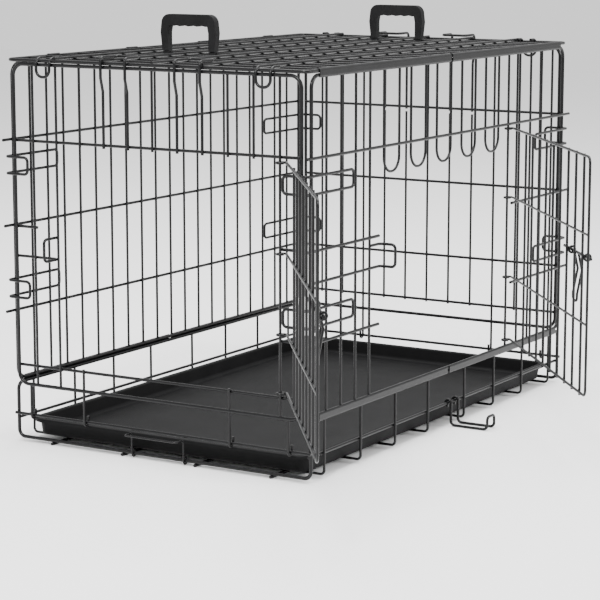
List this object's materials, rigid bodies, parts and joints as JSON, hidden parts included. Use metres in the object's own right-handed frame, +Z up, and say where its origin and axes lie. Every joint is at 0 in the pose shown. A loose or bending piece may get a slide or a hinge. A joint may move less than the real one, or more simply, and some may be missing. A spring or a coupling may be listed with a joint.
{
  "type": "folding wire dog crate",
  "caption": "Folding wire dog crate with front and side doors on slide-bolt latches, a slide-out plastic tray, wire corner hooks and carry handles on the roof.",
  "frame": {"origin": "floor under the middle of the base", "axes": "+X towards the back end, -X towards the front door, -Y towards the side with the second door, +Z up"},
  "size_m": [1.0683, 0.7492, 0.5854],
  "materials": {
    "wire": "semi-gloss black coat over steel wire",
    "sleeve": "semi-gloss black coat over folded steel sheet",
    "tray": "fine-grained black moulded plastic",
    "handle": "satin dark grey moulded plastic"
  },
  "bodies": {
    "frame": {"base_basket": "wire", "base_cross_wires": "wire", "base_rods": "wire", "front_hinge_rod": "wire", "back_hinge_rod": "wire", "front_panel": "wire", "front_rods": "wire", "front_uprights": "wire", "door_side_panel": "wire", "door_side_rods": "wire", "door_side_uprights": "wire", "hairpins": "wire", "far_side_panel": "wire", "top_panel": "wire", "near_bottom_sleeves": "sleeve", "far_bottom_sleeves": "sleeve", "near_top_sleeves": "sleeve", "far_top_clips": "sleeve", "front_corner_hooks": "wire", "back_corner_hooks": "wire", "top_d_hooks": "wire", "front_lock_loops": "wire", "front_staple": "wire", "side_staple": "wire"},
    "back_panel": {"back_panel": "wire", "back_lock_loops": "wire"},
    "front_door": {"front_door": "wire", "front_door_guides": "wire"},
    "side_door": {"side_door": "wire", "side_door_guides": "wire"},
    "front_latch": {"front_door_latch": "wire"},
    "side_latch": {"side_door_latch": "wire"},
    "tray": {"tray": "tray"},
    "tray_stop": {"tray_stop": "wire"},
    "fold_clip": {"fold_clip": "wire"},
    "front_handle": {"front_handle": "handle"},
    "back_handle": {"back_handle": "handle"}
  },
  "joints": [
    {"name": "back_panel_fold", "type": "hinge", "parent": "frame", "child": "back_panel", "pos_m": [0.37815, 0, 0.04], "axis": [0, -1, 0], "range_deg": [0, 90], "deforming": ["back_lock_loops"]},
    {"name": "front_door_hinge", "type": "hinge", "parent": "frame", "child": "front_door", "pos_m": [-0.3825, -0.19655, 0], "axis": [0, 0, 1], "range_deg": [-127, 11]},
    {"name": "side_door_hinge", "type": "hinge", "parent": "frame", "child": "side_door", "pos_m": [0.18702, -0.2375, 0], "axis": [0, 0, 1], "range_deg": [-40, 88]},
    {"name": "front_latch_slide", "type": "slide", "parent": "front_door", "child": "front_latch", "axis": [-0.7986, -0.6018, 0], "range_m": [0, 0.034]},
    {"name": "side_latch_slide", "type": "slide", "parent": "side_door", "child": "side_latch", "axis": [-0.766, -0.6428, 0], "range_m": [0, 0.034]},
    {"name": "tray_slide", "type": "slide", "parent": "frame", "child": "tray", "axis": [-1, 0, 0], "range_m": [0, 0.006]},
    {"name": "tray_stop_hinge", "type": "hinge", "parent": "frame", "child": "tray_stop", "pos_m": [-0.37405, 0, 0.0062], "axis": [0, -1, 0], "range_deg": [0, 55]},
    {"name": "fold_clip_hinge", "type": "hinge", "parent": "frame", "child": "fold_clip", "pos_m": [0, -0.2341, 0.034], "axis": [-1, 0, 0], "range_deg": [0, 90]},
    {"name": "front_handle_fold", "type": "hinge", "parent": "frame", "child": "front_handle", "pos_m": [-0.14962, 0, 0.53], "axis": [0, 1, 0], "range_deg": [-70, 70]},
    {"name": "back_handle_fold", "type": "hinge", "parent": "frame", "child": "back_handle", "pos_m": [0.29924, 0, 0.53], "axis": [0, 1, 0], "range_deg": [-70, 70]}
  ]
}
